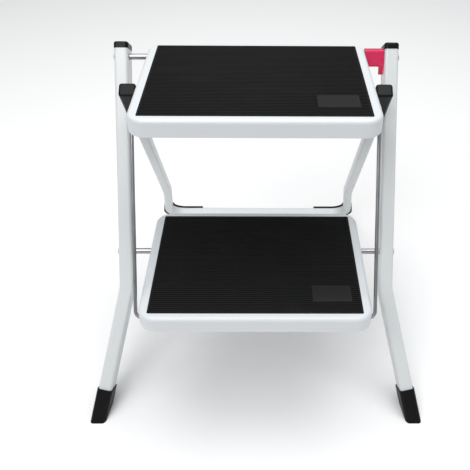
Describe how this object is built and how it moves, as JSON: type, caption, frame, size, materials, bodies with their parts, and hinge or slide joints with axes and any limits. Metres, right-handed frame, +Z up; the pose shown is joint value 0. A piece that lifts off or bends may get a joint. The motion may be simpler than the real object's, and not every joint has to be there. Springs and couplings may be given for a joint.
{
  "type": "folding step stool",
  "caption": "Folding two-step stool with crossing tubular legs, ribbed rubber treads, wire links, foot caps and a safety latch.",
  "frame": {"origin": "on the floor, under the middle of the footprint", "axes": "+Z up, -Y towards the user who climbs on, +X to that user's right"},
  "size_m": [0.4816, 0.4974, 0.4471],
  "materials": {
    "white_frame": "satin powder coat",
    "white_tray": "satin powder coat",
    "black_rubber": "ribbed matte",
    "black_foot": "soft moulded",
    "black_plastic": "soft sheen",
    "red_plastic": "moulded gloss",
    "nylon": "natural",
    "zinc_steel": "bright zinc plated"
  },
  "bodies": {
    "front_frame": {"crossing_rivet_left": "zinc_steel", "crossing_rivet_right": "zinc_steel", "crossing_washer_left": "nylon", "crossing_washer_right": "nylon", "front_foot_left": "black_foot", "front_foot_right": "black_foot", "front_leg_cap_left": "black_plastic", "front_leg_cap_right": "black_plastic", "front_leg_left": "white_frame", "front_leg_right": "white_frame", "lower_rod": "zinc_steel", "lower_rod_cap_left": "zinc_steel", "lower_rod_cap_right": "zinc_steel", "upper_rod": "zinc_steel", "upper_rod_cap_left": "zinc_steel", "upper_rod_cap_right": "zinc_steel"},
    "rear_frame": {"rear_foot_left": "black_foot", "rear_foot_right": "black_foot", "rear_frame_tube": "white_frame", "rear_leg_sleeve_left": "black_plastic", "rear_leg_sleeve_right": "black_plastic", "slide_pin_left": "zinc_steel", "slide_pin_right": "zinc_steel"},
    "top_step": {"top_step_bracket_left": "white_tray", "top_step_bracket_right": "white_tray", "top_step_bush_left": "nylon", "top_step_bush_right": "nylon", "top_step_mat": "black_rubber", "top_step_tray": "white_tray"},
    "lower_step": {"lower_step_bracket_left": "white_tray", "lower_step_bracket_right": "white_tray", "lower_step_bush_left": "nylon", "lower_step_bush_right": "nylon", "lower_step_mat": "black_rubber", "lower_step_tray": "white_tray"},
    "link_left": {"link_clip_lower_left": "zinc_steel", "link_clip_upper_left": "zinc_steel", "link_rod_left": "zinc_steel"},
    "link_right": {"link_clip_lower_right": "zinc_steel", "link_clip_upper_right": "zinc_steel", "link_rod_right": "zinc_steel"},
    "latch": {"safety_latch": "red_plastic"}
  },
  "joints": [
    {"name": "rear_frame_fold", "type": "hinge", "parent": "front_frame", "child": "rear_frame", "pos_m": [0, 0.0076, 0.35224], "axis": [-1, 0, 0], "range_deg": [0, 54]},
    {"name": "top_step_fold", "type": "hinge", "parent": "front_frame", "child": "top_step", "pos_m": [0, 0.05193, 0.42617], "axis": [1, 0, 0], "range_deg": [0, 51.01]},
    {"name": "lower_step_fold", "type": "hinge", "parent": "front_frame", "child": "lower_step", "pos_m": [0, -0.09839, 0.20164], "axis": [1, 0, 0], "range_deg": [0, 51.01]},
    {"name": "link_left_turn", "type": "hinge", "parent": "lower_step", "child": "link_left", "pos_m": [0, -0.22639, 0.20164], "axis": [-1, 0, 0], "range_deg": [0, 51.01]},
    {"name": "link_right_turn", "type": "hinge", "parent": "lower_step", "child": "link_right", "pos_m": [0, -0.22639, 0.20164], "axis": [-1, 0, 0], "range_deg": [0, 51.01]},
    {"name": "latch_turn", "type": "hinge", "parent": "front_frame", "child": "latch", "pos_m": [0, 0.05193, 0.42617], "axis": [1, 0, 0], "range_deg": [0, 15]}
  ],
  "couplings": [
    {"joint": "top_step_fold", "follows": "rear_frame_fold", "ratio": 0.94444},
    {"joint": "lower_step_fold", "follows": "rear_frame_fold", "ratio": 0.94444},
    {"joint": "link_left_turn", "follows": "rear_frame_fold", "ratio": 0.94444},
    {"joint": "link_right_turn", "follows": "rear_frame_fold", "ratio": 0.94444}
  ]
}
